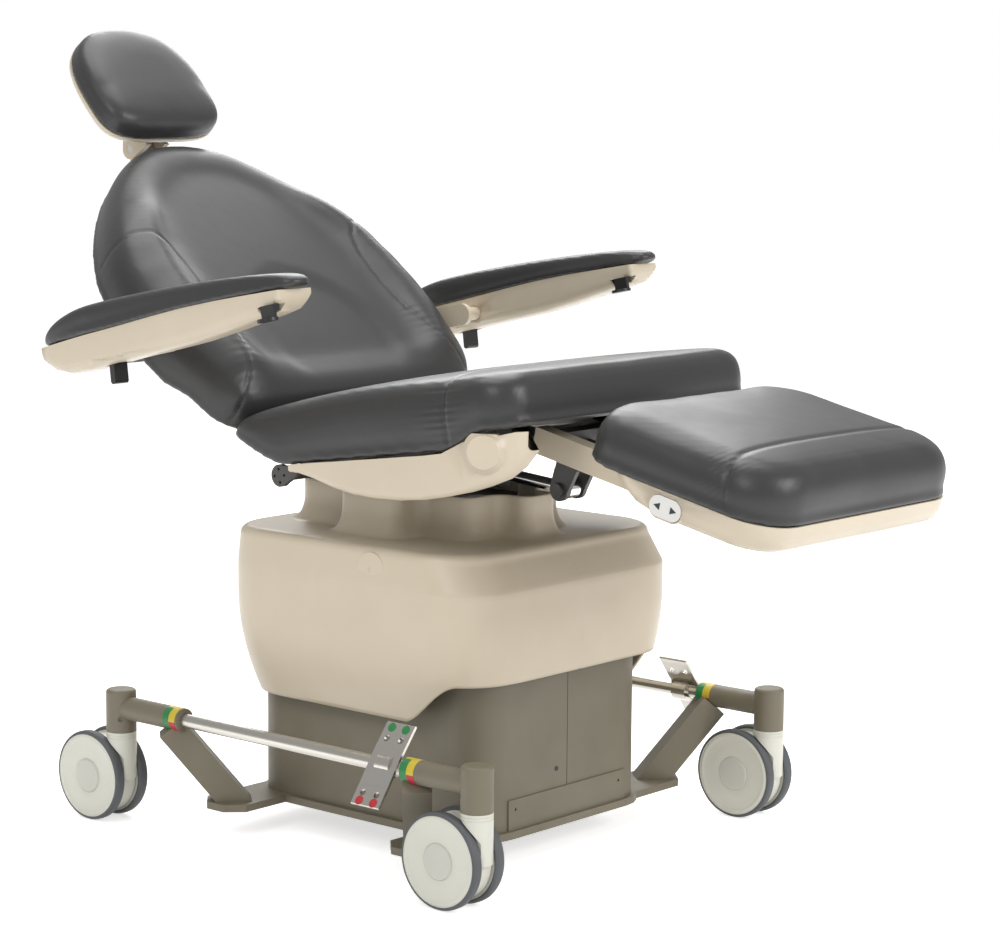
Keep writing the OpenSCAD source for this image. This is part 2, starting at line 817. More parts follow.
module power_inlet() color(black_plastic) placed() translate([0, skirt_y + skirt_l / 2, inlet_z]) difference() {
    union() {
        block([-inlet_w / 2 - inlet_rim, 0, -inlet_h / 2 - inlet_rim],
            [inlet_w / 2 + inlet_rim, inlet_rim, inlet_h / 2 + inlet_rim]);
        block([-inlet_w / 2, -inlet_depth, -inlet_h / 2], [inlet_w / 2, 0, inlet_h / 2]);
    }
    difference() {
        block([-inlet_socket_w / 2, -inlet_depth * 2 / 3, -inlet_socket_h / 2],
            [inlet_socket_w / 2, inlet_rim + overrun, inlet_socket_h / 2]);
        for (p = [[-1, 0], [0, 1], [1, 0]]) translate([p[0] * inlet_pin_pitch, 0, p[1] * inlet_pin_w])
            block([-inlet_pin_t / 2, -inlet_depth, -inlet_pin_w / 2], [inlet_pin_t / 2, 0, inlet_pin_w / 2]);
    }
}

// Column and lift
module column_outer() color(dark_steel) placed() translate([0, column_y, plate_top]) difference() {
    union() {
        block([-column_w / 2, -column_w / 2, 0], [column_w / 2, column_w / 2, column_top - plate_top]);
        block([-column_flange / 2, -column_flange / 2, 0], [column_flange / 2, column_flange / 2, column_flange_t]);
    }
    inner = column_w / 2 - column_wall;
    block([-inner, -inner, -overrun], [inner, inner, column_top]);
    translate([0, 0, -overrun]) flange_holes(column_flange_t);
}
module shroud_mid() color(taupe) placed() difference() {
    w = skirt_w - 2 * skirt_wall - 2 * shroud_gap;
    l = skirt_l - 2 * skirt_wall - 2 * shroud_gap;
    union() {
        ring_wall(w, l, skirt_r - skirt_wall - shroud_gap, skirt_y, shroud_wall, shroud_bottom, shroud_top);
        for (s = [-1, 1]) {
            block([s * w / 2 - (s < 0 ? shroud_gap - gap : 0), skirt_y - glide_w / 2, shroud_bottom],
                [s * w / 2 + (s > 0 ? shroud_gap - gap : 0), skirt_y + glide_w / 2, shroud_bottom + glide_w]);
            block([-glide_w / 2, skirt_y + s * l / 2 - (s < 0 ? shroud_gap - gap : 0), shroud_bottom],
                [glide_w / 2, skirt_y + s * l / 2 + (s > 0 ? shroud_gap - gap : 0), shroud_bottom + glide_w]);
        }
    }
}
module lift_drive() color(dark_steel) placed() translate([0, column_y, plate_top]) {
    cylinder(d = lift_motor_d, h = lift_motor_h, $fn = 48);
    cylinder(d = spindle_d, h = spindle_top - plate_top, $fn = 32);
}
module column_inner() color(dark_steel) placed() difference() {
    union() {
        translate([0, column_y, 0])
            block([-slide_w / 2, -slide_w / 2, slide_bottom], [slide_w / 2, slide_w / 2, head_plate_z]);
        translate([0, 0, head_plate_z]) linear_extrude(head_plate_t)
            polygon(flat(outline(neck_corners, -cover_wall - gap, 0)));
    }
    inner = slide_w / 2 - slide_wall;
    translate([0, column_y, 0]) {
        block([-inner, -inner, slide_bottom - overrun], [inner, inner, nut_z]);
        block([-inner, -inner, nut_z + nut_t], [inner, inner, head_plate_z]);
        translate([0, 0, nut_z - overrun]) cylinder(d = spindle_d + 2 * run_fit, h = nut_t + 2 * overrun, $fn = 48);
    }
}

// Casters
module caster(side, end) color(caster_white) placed() translate([side * post_x, end * post_y, 0]) {
    difference() {
        union() {
            translate([0, 0, wheel_r]) cylinder(d = post_d, h = body_top - wheel_r, $fn = 64);
            translate([-body_half, trail, wheel_r]) rotate([0, 90, 0])
                cylinder(d = body_disc_d, h = 2 * body_half, $fn = 72);
        }
        for (s = [-1, 1]) translate([s * (body_half + twin_w / 2), trail, wheel_r]) rotate([0, 90, 0])
            cylinder(r = wheel_r + wheel_room, h = twin_w, center = true, $fn = 72);
        for (k = [1, 2]) translate([0, 0, body_top - k * groove_pitch]) rotate_extrude($fn = 64)
            translate([post_d / 2 - groove, 0]) square([overrun, groove]);
    }
    translate([0, 0, body_top - axle_seat]) cylinder(d = stem_d, h = stem_l + axle_seat, $fn = 48);
    translate([-twin_w / 2 + axle_seat, trail, wheel_r]) rotate([0, 90, 0])
        cylinder(d = axle_d, h = twin_w - 2 * axle_seat, $fn = 48);
}
// A wheel in its own axes: its axis along z, its inner face at 0 and its outer face at wheel_w
module wheel(side, end, out) color(caster_white) placed()
    translate([side * post_x, end * post_y + trail, wheel_r])
        rotate([0, side * out * 90, 0]) translate([0, 0, twin_inner]) {
            rotate_extrude($fn = 72) disc_profile();
            rotate_extrude($fn = 72) tyre_profile();
        }
module disc_profile() {
    bore = axle_d / 2 + run_fit;
    depth = wheel_w - axle_seat + gap;
    face = wheel_w - hub_cap_t;
    polygon([[bore, 0], [rim_r, 0], [rim_r, face - hub_cap_t], [rim_r - hub_cap_t, face],
        [hub_cap_d / 2 + hub_cap_t, face], [hub_cap_d / 2, wheel_w], [0, wheel_w], [0, depth], [bore, depth]]);
}
module tyre_profile() {
    w = wheel_w - hub_cap_t;
    polygon([[rim_r, 0], [wheel_r - tyre_t * 0.6, 0], [wheel_r - tyre_t * 0.22, w * 0.1], [wheel_r, w * 0.3],
        [wheel_r, w * 0.7], [wheel_r - tyre_t * 0.22, w * 0.9], [wheel_r - tyre_t * 0.6, w],
        [rim_r, w - hub_cap_t]]);
}

// Brakes
module brake_rod(side) color(bright_steel) placed() translate([side * post_x, 0, tube_z]) rotate([-90, 0, 0])
    translate([0, 0, -tube_front - rod_seat]) cylinder(d = rod_d, h = tube_front + tube_rear + 2 * rod_seat, $fn = 48);
module brake_pedal(side) color(bright_steel) placed() on_side(side)
    translate([post_x, -pedal_y + pedal_w / 2, tube_z]) rotate([90, 0, 0]) difference() {
        union() {
            linear_extrude(pedal_w) strap([pedal_top, pedal_mid, pedal_low, pedal_foot], pedal_t);
            translate([0, 0, pedal_w / 4]) cylinder(d = pedal_hub_d, h = pedal_w / 2, $fn = 48);
        }
        translate([0, 0, -overrun]) cylinder(d = rod_d + 2 * run_fit, h = pedal_w + 2 * overrun, $fn = 48);
        for (s = [1, 3]) {
            pedal_hole((pedal_top + pedal_mid) / 2, pedal_top - pedal_mid, s * pedal_w / 4);
            pedal_hole((pedal_low + pedal_foot) / 2, pedal_low - pedal_foot, s * pedal_w / 4);
        }
    }
// Hole square to a pedal plate that runs along d
module pedal_hole(at, d, along) translate([at[0], at[1], along]) rotate(atan2(d[1], d[0])) rotate([90, 0, 0])
    cylinder(d = pedal_hole_d, h = 3 * pedal_t, center = true, $fn = 24);

// Cover
function cover_ring(w_in, front_in, back_in, z, grow, more_r = -1 / 2) =
    let (w = cover_w - 2 * w_in, l = cover_l - front_in - back_in)
    outline(box_corners(w, l, cover_r + w_in * more_r, cover_y + (front_in - back_in) / 2), grow, z, 8);
taper_share = [1.03, 0.8, 0.6, 0.4, 0.2];
function cover_rings(grow, top) = concat(
    [for (s = taper_share) cover_ring(taper_in * s * s, taper_front_in * s * s, taper_back_in * s * s,
        taper_z - (taper_z - skirt_edge_z) * s - (grow < 0 && s > 1 ? overrun : 0), grow, 1 / 2)],
    [
        cover_ring(0, 0, 0, taper_z, grow),
        cover_ring(0, 0, 0, crease_z, grow),
        cover_ring(side_in, slope_in, side_in, deck_z - deck_edge, grow)
    ],
    [for (k = [1 : 3]) let (t = 30 * k, r = deck_edge)
        cover_ring(side_in + r * (1 - cos(t)), slope_in + r * (1 - cos(t)), side_in + r * (1 - cos(t)),
            deck_z - r * (1 - sin(t)) - (k == 3 ? top : top * k / 3), grow)]);
function neck_rings(grow) = concat(
    [outline(neck_corners, cove_r + grow, deck_z - cover_wall / 2)],
    [for (k = [0 : 4]) let (t = 90 * k / 4)
        outline(neck_corners, cove_r * (1 - sin(t)) + grow, deck_z + cove_h * (1 - cos(t)))],
    [outline(neck_corners, grow, neck_z - neck_edge), outline(neck_corners, grow - neck_edge / 2, neck_z)]);
module cover_shell() difference() {
    union() {
        loft(cover_rings(0, 0));
        loft(neck_rings(0), true);
    }
    loft(cover_rings(-cover_wall, cover_wall));
    translate([0, 0, deck_z - deck_edge]) linear_extrude(neck_z - deck_z + deck_edge + overrun)
        polygon(flat(outline(neck_corners, -cover_wall, 0)));
    across_chair(-cover_w, 2 * cover_w) lower_sweep();
    for (s = [-1, 1]) translate([s * (plug_seat + overrun), plug_y, plug_z]) rotate([0, s * 90, 0])
        translate([0, 0, -overrun]) cylinder(d = plug_d + 2 * gap, h = plug_depth + 2 * overrun, $fn = 48);
}
// Region cut away under the lower edge, which sweeps up across the front
module lower_sweep() polygon(concat(
    [[cover_front - cover_wall, 0], [cover_back + cover_wall, 0], [cover_back + cover_wall, skirt_edge_z]],
    [for (k = [0 : 16]) let (y = -sweep_front + sweep_run / 2 - sweep_run * k / 16)
        [y, skirt_edge_z + (sweep_top - skirt_edge_z) * eased(0, 1, k / 16)]],
    [[cover_front - cover_wall, sweep_top]]));
module cover_half(side) color(cream) placed() intersection() {
    cover_shell();
    block([side < 0 ? -cover_w : 0, -cover_l, 0], [side < 0 ? 0 : cover_w, cover_l, 2 * neck_z]);
}
plug_seat = cover_w / 2 - side_in - cover_wall / 2 + edge / 3;
module cover_plugs() color(cream) placed() both_sides()
    translate([plug_seat, plug_y, plug_z]) rotate([0, 90, 0]) rotate_extrude($fn = 64)
        polygon([[0, 0], [plug_d / 2, 0], [plug_d / 2, plug_depth - plug_proud],
            [plug_d / 2 - plug_proud, plug_depth], [0, plug_depth + plug_proud]]);

// Tilt yoke: two cheeks on the head plate with a pin for the seat frame
module tilt_yoke() color(dark_steel) placed() {
    floor_z = head_plate_z + head_plate_t;
    for (s = [-1, 1]) across_chair(s > 0 ? yoke_x : -yoke_x - yoke_t, yoke_t) {
        translate([tilt_y, tilt_z]) circle(d = yoke_l * 3 / 4, $fn = 48);
        translate([tilt_y - yoke_l / 2, floor_z]) square([yoke_l, edge * 4]);
        translate([tilt_y - yoke_l * 3 / 8, floor_z]) square([yoke_l * 3 / 4, tilt_z - floor_z]);
    }
    pin([tilt_y, tilt_z], -yoke_x - yoke_t, 2 * yoke_x + 2 * yoke_t, tilt_pin_d);
}

// Seat
module seat_frame() color(dark_steel) placed() {
    difference() {
        union() {
            at_seat() {
                for (s = [-1, 1]) block([s > 0 ? rail_x : -rail_x - rail_w, rail_front, rail_low],
                    [s > 0 ? rail_x + rail_w : -rail_x, rail_back, pan_low]);
                cross_bar(cross_y, cross_low, pan_low);
                cross_bar(drive_pivot[0] - cross_w * 2 / 3, -cross_w / 3, pan_low);
                for (y = [bracket_front, bracket_back]) both_sides()
                    block([rail_x + rail_w, y, bracket_low], [side_x - side_wall - gap, y + bracket_w, bracket_high]);
                both_sides() {
                    block([rail_x + rail_w, dark_plate_at[0] - dark_spacer_w / 2, dark_plate_at[1] - dark_spacer_w / 2],
                        [dark_plate_x, dark_plate_at[0] + dark_spacer_w / 2, dark_plate_at[1] + dark_spacer_w / 2]);
                    dark_plate();
                    pin(back_pivot, back_arm_x - pin_out, rail_x + rail_w / 2 - back_arm_x + pin_out, back_pin_d);
                }
                for (s = [-1, 1]) across_chair(s > 0 ? eye_w / 2 + gap : -eye_w / 2 - gap - ear_t, ear_t) {
                    translate(drive_pivot) circle(d = cross_w, $fn = 32);
                    translate(drive_pivot - [cross_w / 2, 0]) square([cross_w, pan_low - drive_pivot[1]]);
                }
                for (s = [-1, 1]) across_chair(s > 0 ? yoke_x - gap - ear_t : -yoke_x + gap, ear_t)
                    strap([seat_tilt_at, [cross_y + cross_w / 2, -cross_w / 3]], yoke_l * 3 / 4);
                pin(leg_pivot, -rail_x - rail_w / 2, 2 * rail_x + rail_w, leg_pin_d);
                pin(drive_pivot, -eye_w, 2 * eye_w, bolt_d);
            }
        }
        pin([tilt_y, tilt_z], -yoke_x, 2 * yoke_x, tilt_pin_d + 2 * run_fit);
    }
}
seat_tilt_at = turned([tilt_y, tilt_z] - [seat_y, seat_z], seat_slope);
module cross_bar(y, low, high) block([-rail_x, y, low], [rail_x, y + cross_w, high]);
module dark_plate() across_chair(dark_plate_x, dark_plate_t) difference() {
    d = dark_plate_at - dark_plate_tail;
    square_to = [-d[1], d[0]] / norm(d);
    union() {
        translate(dark_plate_at) circle(d = dark_plate_d, $fn = 48);
        translate(dark_plate_tail) circle(d = dark_plate_tail_d, $fn = 32);
        polygon([dark_plate_at + square_to * dark_plate_d / 2, dark_plate_tail + square_to * dark_plate_tail_d / 2,
            dark_plate_tail - square_to * dark_plate_tail_d / 2, dark_plate_at - square_to * dark_plate_d / 2]);
    }
    for (k = [0 : 3]) translate(dark_plate_at + dark_plate_d * 0.3 * [cos(90 * k), sin(90 * k)])
        circle(d = dark_plate_hole_d, $fn = 24);
}
module seat_pan() color(dark_steel) placed() at_seat() difference() {
    translate([0, 0, pan_low]) linear_extrude(pan_t)
        rounded(2 * pan_half, pan_back - pan_front, pan_corner_r, (pan_front + pan_back) / 2);
    for (x = [-1, 1], k = [1 : 3])
        translate([x * pan_half / 2, pan_front + (pan_back - pan_front) * k / 4, pan_low - overrun])
            cylinder(d = cap_d, h = pan_t + 2 * overrun, $fn = 32);
}
seat_levels_share = [
    [0.972, 0], [0.99, 0.1], [1, 0.3], [1, 0.52], [0.992, 0.7], [0.972, 0.84], [0.94, 0.93], [0.9, 0.975],
    [0.82, 1], [0.6, 1.03], [0.35, 1.045], [0.12, 1.05]
];
seat_mid = seat_l / 2 - seat_front_over;
function seat_low(x, y) = lip_low
    + (lip_front - lip_low) * (1 - eased(lip_front_start, lip_front_end, y))
    + (lip_back - lip_low) * eased(lip_back_start, lip_back_end, y);
// The rear rolls over about the back's hinge, just inside the sweep of the back's lower edge
roll_r = back_start - back_pivot_b[0] - roll_gap;
function seat_high(x, y) = y > back_pivot[0]
    ? min(seat_top(y), back_pivot[1] + sqrt(max(0, roll_r * roll_r - pow(y - back_pivot[0], 2))))
    : seat_top(y);
function seat_top(y) = seat_h
    - seat_fall * pow(max(0, y - seat_fall_start) / seat_fall_run, 2.6)
    - seat_channel * exp(-pow((y - seat_channel_y) / seat_channel_y * 16, 2));
module seat_cushion() color(upholstery) placed() at_seat() difference() {
    loft(pad_rings(outline(box_corners(2 * seat_half, seat_l, seat_corner_r, seat_mid), 0, 0, 8),
        [0, seat_mid], seat_levels_share, function (x, y) seat_low(x, y), function (x, y) seat_high(x, y)), true);
    translate([0, 0, 2 * lip_low]) linear_extrude(pan_low + pan_t + gap - 2 * lip_low)
        rounded(2 * pan_half + 2 * gap, recess_back - pan_front + 2 * gap, pan_corner_r, (pan_front + recess_back) / 2);
    both_sides() block([back_arm_x - 2 * gap, back_pivot[0], 2 * lip_low],
        [back_arm_x + back_arm_t + 2 * gap, seat_l, arm_slot_top]);
}

// Side cover: thin section with a rolled lower edge, carried along its stations
function side_section(s) =
    let (x = side_x - s[3], top = s[1], low = s[2], r = min(side_roll, (top - low) / 2), w = side_wall)
    concat(
        [[x - w, s[0], top], [x, s[0], top], [x, s[0], low + r]],
        [for (k = [1 : 4]) let (t = 90 * k / 4) [x - r * (1 - cos(t)), s[0], low + r * (1 - sin(t))]],
        [[x - 2 * r, s[0], low], [x - 2 * r, s[0], low + w / 2]],
        [for (k = [4 : -1 : 1]) let (t = 90 * k / 4)
            [x - w / 2 - r * (1 - cos(t)) * 0.9, s[0], low + w / 2 + (r - w / 2) * (1 - sin(t))]],
        [[x - w, s[0], low + r]]);
module seat_side(side) color(cream) placed() on_side(side) {
    loft([for (k = [len(side_stations) - 1 : -1 : 0]) side_section(side_stations[k])]);
    difference() {
        translate(boss_at) rotate([0, 90, -boss_turn]) translate([0, 0, -boss_in])
            cylinder(d = boss_d, h = boss_in + boss_out, $fn = 48);
        block([0, 2 * boss_at[1], boss_top], [2 * side_x, 0, 2 * boss_top]);
    }
}
module seat_caps() color(cream) placed() both_sides() translate(boss_at) rotate([0, 90, -boss_turn])
    translate([0, 0, boss_out]) rotate_extrude($fn = 64)
        polygon([[0, 0], [cap_d / 2, 0], [cap_d / 2, cap_t * 2 / 3], [cap_d / 2 - cap_t / 3, cap_t], [0, cap_t]]);

// Back
module back_frame() color(dark_steel) placed() at_back() {
    both_sides() difference() {
        across_chair(back_arm_x, back_arm_t) {
            translate(back_pivot_b) circle(r = hub_r, $fn = 48);
            strap([back_pivot_b, [elbow, frame_mid], [upright_end, frame_mid]], back_bar_w);
        }
        pin(back_pivot_b, back_arm_x - overrun, back_arm_t + 2 * overrun, back_pin_d + 2 * run_fit);
    }
    difference() {
        union() {
            tie(back_arm_x + back_arm_t / 2, tie_low);
            tie(arm_bar_x, tie_high);
            block([-spine_half, spine_start, frame_front - back_bar_w], [spine_half, spine_end, frame_front]);
        }
        block([-head_bar_w / 2 - gap, head_bar_start - head_bar_room, frame_mid - head_bar_t / 2 - gap],
            [head_bar_w / 2 + gap, spine_end + overrun, frame_mid + head_bar_t / 2 + gap]);
    }
}
module tie(half, y) block([-half, y - back_bar_w / 2, frame_front - back_bar_w],
    [half, y + back_bar_w / 2, frame_front]);
shell_levels_share = [[0.885, -1], [0.915, -0.8], [0.93, -0.45], [0.93, 0]];
function shell_ring(level, wall) = [for (p = back_ring(level[0] - wall / back_half))
    [p[0], p[1], -back_pad_t - gap + level[1] * back_shell_t]];
module back_shell() color(cream) placed() at_back() difference() {
    loft([for (level = shell_levels_share) shell_ring(level, 0)]);
    translate([0, 0, back_shell_wall]) loft([for (k = [0, 2, 3]) shell_ring(shell_levels_share[k], back_shell_wall * 2)]);
}
back_levels_share = [
    [0.975, 0], [0.995, 0.14], [1, 0.4], [0.997, 0.6], [0.98, 0.8], [0.95, 0.94], [0.9, 1.02], [0.84, 1.04],
    [0.76, 1.03], [0.68, 1], [0.52, 1], [0.3, 1], [0.1, 1]
];
function back_high(x, y) =
    let (half = back_half * looked_up(back_outline_shares, max(0, min(1, (y - back_start) / back_l)), 1),
        t = abs(x) / half)
    bolster_h * exp(-pow((t - 0.76) / 0.15, 2)) * eased(0, 60, y) * (1 - eased(back_l * 0.62, back_l * 0.86, y));
// The upholstery wraps round the shell's edge, except along the lower edge
function back_low(y) = -back_pad_t - back_lip * eased(back_lip_start, back_lip_end, y);
module back_cushion() color(upholstery) placed() at_back() difference() {
    loft(pad_rings(back_ring(1), [0, back_mid], back_levels_share,
        function (x, y) back_low(y), function (x, y) back_high(x, y)), true);
    translate([0, 0, -back_pad_t - 2 * back_shell_t]) linear_extrude(2 * back_shell_t)
        polygon(back_ring(shell_levels_share[3][0] + gap / back_half));
}

// Arm rests
module arm_mounts() color(cream) placed() {
    for (s = [-1, 1]) {
        across_chair(s > 0 ? arm_bar_x : -arm_bar_x - arm_bar_t, arm_bar_t)
            strap([in_back([tie_high, frame_mid]), arm_pivot], arm_mount_w);
        pin(arm_pivot, s > 0 ? arm_bar_x : -arm_x - arm_shell_w / 2 + 2 * arm_wall + gap,
            arm_x + arm_shell_w / 2 - 2 * arm_wall - gap - arm_bar_x, arm_pin_d);
    }
}
function arm_z(col, y) = looked_up(arm_shares, (arm_back - y) / arm_l, col);
// Section of an arm shell at a station: down its outer side, round below, and up its inner side
function arm_section(s, wall) =
    let (y = arm_back - s[0] * arm_l, top = s[1] + (wall > 0 ? overrun : 0), low = s[2] + wall,
        w = (arm_shell_w / 2 - wall) * (s[0] < 0.02 || s[0] > 0.98 ? 0.8 : 1),
        r = min(w / 2, (s[1] - s[2]) * 0.6),
        round = [for (k = [0 : 3]) [w - r * (1 - cos(30 * k)), low + r * (1 - sin(30 * k))]])
    concat(
        [[arm_x + w, y, top]],
        [for (k = [0 : 3]) [arm_x + round[k][0], y, round[k][1]]],
        [for (k = [3 : -1 : 0]) [arm_x - round[k][0], y, round[k][1]]],
        [[arm_x - w, y, top]]);
module arm_shell(side) color(cream) placed() on_side(side) at_arm() difference() {
    union() {
        difference() {
            loft([for (k = [len(arm_shares) - 1 : -1 : 0]) arm_section(arm_shares[k], 0)]);
            loft([for (k = [len(arm_shares) - 3 : -1 : 2]) arm_section(arm_shares[k], arm_wall)]);
            block([arm_x - latch_w / 2 - gap, latch_pin[0] - latch_slot_l / 2, latch_pin[1] * 3],
                [arm_x + latch_w / 2 + gap, latch_pin[0] + latch_slot_l / 2, latch_pin[1]]);
        }
        pin([0, 0], arm_x - arm_shell_w / 2 + arm_wall / 2, arm_shell_w - arm_wall, arm_hub_d);
        pin(latch_pin, arm_x - arm_shell_w / 2 + arm_wall / 2, arm_shell_w - arm_wall, latch_pin_d, 24);
    }
    pin([0, 0], arm_x - arm_shell_w, 3 * arm_shell_w / 2 - 2 * arm_wall, arm_pin_d + 2 * run_fit);
    knob_side(side) block([arm_x + arm_shell_w / 4, slot_front, slot_z - slot_h / 2],
        [arm_x + arm_shell_w, slot_back, slot_z + slot_h / 2]);
}
// Both arm rests have their knob on the side toward -X
module knob_side(side) {
    if (side < 0) children();
    else translate([2 * arm_x, 0, 0]) mirror([1, 0, 0]) children();
}
arm_levels_share = [
    [0.4, 0], [0.75, 0], [0.95, 0], [0.99, 0.14], [1, 0.36], [0.985, 0.6], [0.93, 0.82], [0.82, 0.94], [0.6, 1], [0.25, 1.03]
];
module arm_pad(side) color(upholstery) placed() on_side(side) at_arm()
    translate([arm_x, 0, 0]) loft(pad_rings(soft_ring(arm_pad_w / 2, arm_l / 2, arm_back - arm_l / 2, 3.6, 40),
        [0, arm_back - arm_l / 2], arm_levels_share,
        function (x, y) arm_z(1, min(arm_back - arm_l * 0.02, max(arm_front + arm_l * 0.02, y))) + 2 * gap,
        function (x, y) arm_pad_top(y)), true);
// The pad is full over the forearm and thins toward the hand
function arm_pad_top(y) = arm_pad_low + arm_pad_h
    - arm_thin_front * pow(max(0, arm_crown_y - y) / (arm_crown_y - arm_front), 1.8)
    - arm_thin_back * pow(max(0, y - arm_crown_y) / (arm_back - arm_crown_y), 2);
module arm_knob(side) color(black_plastic) placed() on_side(side) at_arm() knob_side(side) {
    x = arm_x + arm_shell_w / 2;
    h = slot_h / 2 - gap;
    block([x - arm_wall * 2, knob_y - knob_l / 2, slot_z - h], [x + knob_stem, knob_y + knob_l / 2, slot_z + h]);
    block([x + gap, knob_y - knob_l / 2, knob_low + knob_t / 2], [x + knob_stem, knob_y + knob_l / 2, slot_z]);
    translate([x + knob_stem, knob_y, knob_low]) intersection() {
        cylinder(d = knob_d, h = knob_t, $fn = 48);
        block([-knob_stem + gap, -knob_d, -overrun], [knob_d, knob_d, knob_d]);
    }
}
module arm_latch(side) color(black_plastic) placed() on_side(side) at_arm() difference() {
    across_chair(arm_x - latch_w / 2, latch_w) {
        translate(latch_pin) circle(d = latch_hub_d, $fn = 32);
        strap([latch_pin, latch_pin + [latch_t / 3, -latch_l]], latch_t);
    }
    pin(latch_pin, arm_x - latch_w, 2 * latch_w, latch_pin_d + 2 * run_fit, 32);
}

// Head rest
module head_bar() color(bright_steel) placed() {
    at_back() block([-head_bar_w / 2, head_bar_start, frame_mid - head_bar_t / 2],
        [head_bar_w / 2, head_bar_end, frame_mid + head_bar_t / 2]);
    top = in_back([head_bar_end - head_bar_t / 2, frame_mid]);
    across_chair(-knuckle_w / 2, knuckle_w) strap([top, head_pivot], head_bar_t);
    pin(head_pivot, -knuckle_w / 2, knuckle_w, 2 * knuckle_r);
    pin(head_pivot, -knuckle_w / 2 - head_ear_t, knuckle_w + 2 * head_ear_t, head_pin_d);
}
head_pivot_h = to_head(head_pivot);
head_shell_back = -head_pad_t - gap - head_shell_t;
module head_bracket() color(cream) placed() at_head() difference() {
    union() {
        both_sides() across_chair(knuckle_w / 2 + gap, head_ear_t) {
            translate(head_pivot_h) circle(r = knuckle_r, $fn = 48);
            polygon([head_ear_tip, head_pivot_h + [-knuckle_r, 0], head_pivot_h + [knuckle_r * 0.7, -knuckle_r * 0.7],
                [head_plate_l, head_shell_back - knuckle_r * 0.6], [head_plate_l, head_shell_back],
                [head_plate_l * 0.45, head_shell_back]]);
        }
        block([-head_plate_w / 2, head_plate_l * 0.45, head_shell_back - knuckle_r * 0.6],
            [head_plate_w / 2, head_plate_l * 1.4, head_shell_back]);
    }
    pin(head_pivot_h, -head_plate_w, 2 * head_plate_w, head_pin_d + 2 * run_fit);
}
head_mid = head_l / 2;
shell_head_share = [[0.5, -1], [0.76, -0.86], [0.9, -0.6], [0.97, -0.25], [0.985, 0]];
// Outline of the head rest, nearly flat below and arched above
function head_ring(share, wall) = [for (k = [0 : 43])
    let (t = 360 * k / 44, c = cos(t), s = sin(t), power = s < 0 ? head_low_power : head_high_power,
        up = head_wide_share + sign(s) * pow(abs(s), 2 / power) * (s < 0 ? head_wide_share : 1 - head_wide_share))
    [(head_half * share - wall) * sign(c) * pow(abs(c), 2 / power), head_mid + (up - 1 / 2) * (head_l * share - 2 * wall)]];
function head_shell_ring(level, wall) = [for (p = head_ring(level[0], wall))
    [p[0], p[1], -head_pad_t - gap + level[1] * head_shell_t]];
module head_shell() color(cream) placed() at_head() difference() {
    loft([for (level = shell_head_share) head_shell_ring(level, 0)]);
    translate([0, 0, back_shell_wall]) loft([for (level = shell_head_share) head_shell_ring(level, back_shell_wall)]);
}
head_levels_share = [
    [0.97, 0], [0.995, 0.16], [1, 0.36], [0.985, 0.56], [0.945, 0.74], [0.86, 0.89], [0.72, 0.97], [0.45, 1.02],
    [0.15, 1.03]
];
module head_cushion() color(upholstery) placed() at_head()
    loft(pad_rings(head_ring(1, 0), [0, head_mid], head_levels_share,
        function (x, y) -head_pad_t, function (x, y) 0), true);

// Leg rest
module leg_beams() color(cream) placed() at_leg() both_sides() difference() {
    block([beam_x, beam_start - beam_l, beam_low], [beam_x + beam_w, beam_start, beam_low + beam_h]);
    block([beam_x + foot_wall, beam_start - beam_l - overrun, beam_low + foot_wall],
        [beam_x + beam_w - foot_wall, beam_start - beam_l / 2, beam_low + beam_h - foot_wall]);
}
module leg_bracket() color(dark_steel) placed() at_leg() {
    both_sides() difference() {
        union() {
            pin([0, 0], knuckle_x, beam_x + beam_w - knuckle_x, knuckle_d);
            block([knuckle_x, beam_start, beam_low], [beam_x + beam_w, 0, knuckle_d / 2]);
        }
        pin([0, 0], 0, 2 * beam_x + beam_w, leg_pin_d + 2 * run_fit);
    }
    block([-knuckle_x, beam_start, beam_low], [knuckle_x, beam_start + knuckle_d / 2, knuckle_d / 2]);
    for (s = [-1, 1]) {
        across_chair(s > 0 ? clevis_x : -clevis_x - clevis_t, clevis_t) difference() {
            polygon([[beam_start + knuckle_d / 2, beam_low], [clevis[0] + clevis_r, clevis[1]],
                [clevis[0] - clevis_r, clevis[1]], [clevis[0] - clevis_r * 1.6, clevis[1] / 2], [clevis_top_front, beam_low],
                [clevis_top_front, beam_low + foot_wall * 2], [beam_start, beam_low + foot_wall * 2]]);
            translate([clevis[0] + clevis_r * 2.1, clevis[1] / 2]) circle(r = clevis_r * 1.3, $fn = 48);
        }
        pin(clevis, s > 0 ? clevis_x : -clevis_x - clevis_t, clevis_t, 2 * clevis_r);
        pin(clevis, s > 0 ? clevis_x + clevis_t : -clevis_x - clevis_t - bolt_head_t, bolt_head_t, bolt_head_d);
    }
}
module foot_slide() color(dark_steel) placed() at_leg() {
    top = beam_low + beam_h + gap;
    both_sides() block([slide_rail_x, slide_rail_end, beam_low + foot_wall], [beam_x - gap, slide_rail_start, top]);
    block([-beam_x - beam_w, slide_rail_end, top], [beam_x + beam_w, slide_plate_start, top + slide_plate_t]);
    for (y = [slide_rail_end, slide_plate_start - slide_bar_l]) {
        block([-beam_x, y, top + slide_plate_t], [beam_x, y + slide_bar_l, foot_low - gap]);
    }
    block([-slide_rail_x + gap, foot_bar_y, foot_floor + foot_wall + gap],
        [slide_rail_x - gap, foot_bar_y + slide_bar_l, top]);
}
function foot_ring(s, grow, z) = outline(box_corners(2 * s[3], s[1] - s[2], s[4], (s[1] + s[2]) / 2), grow, z, 6);
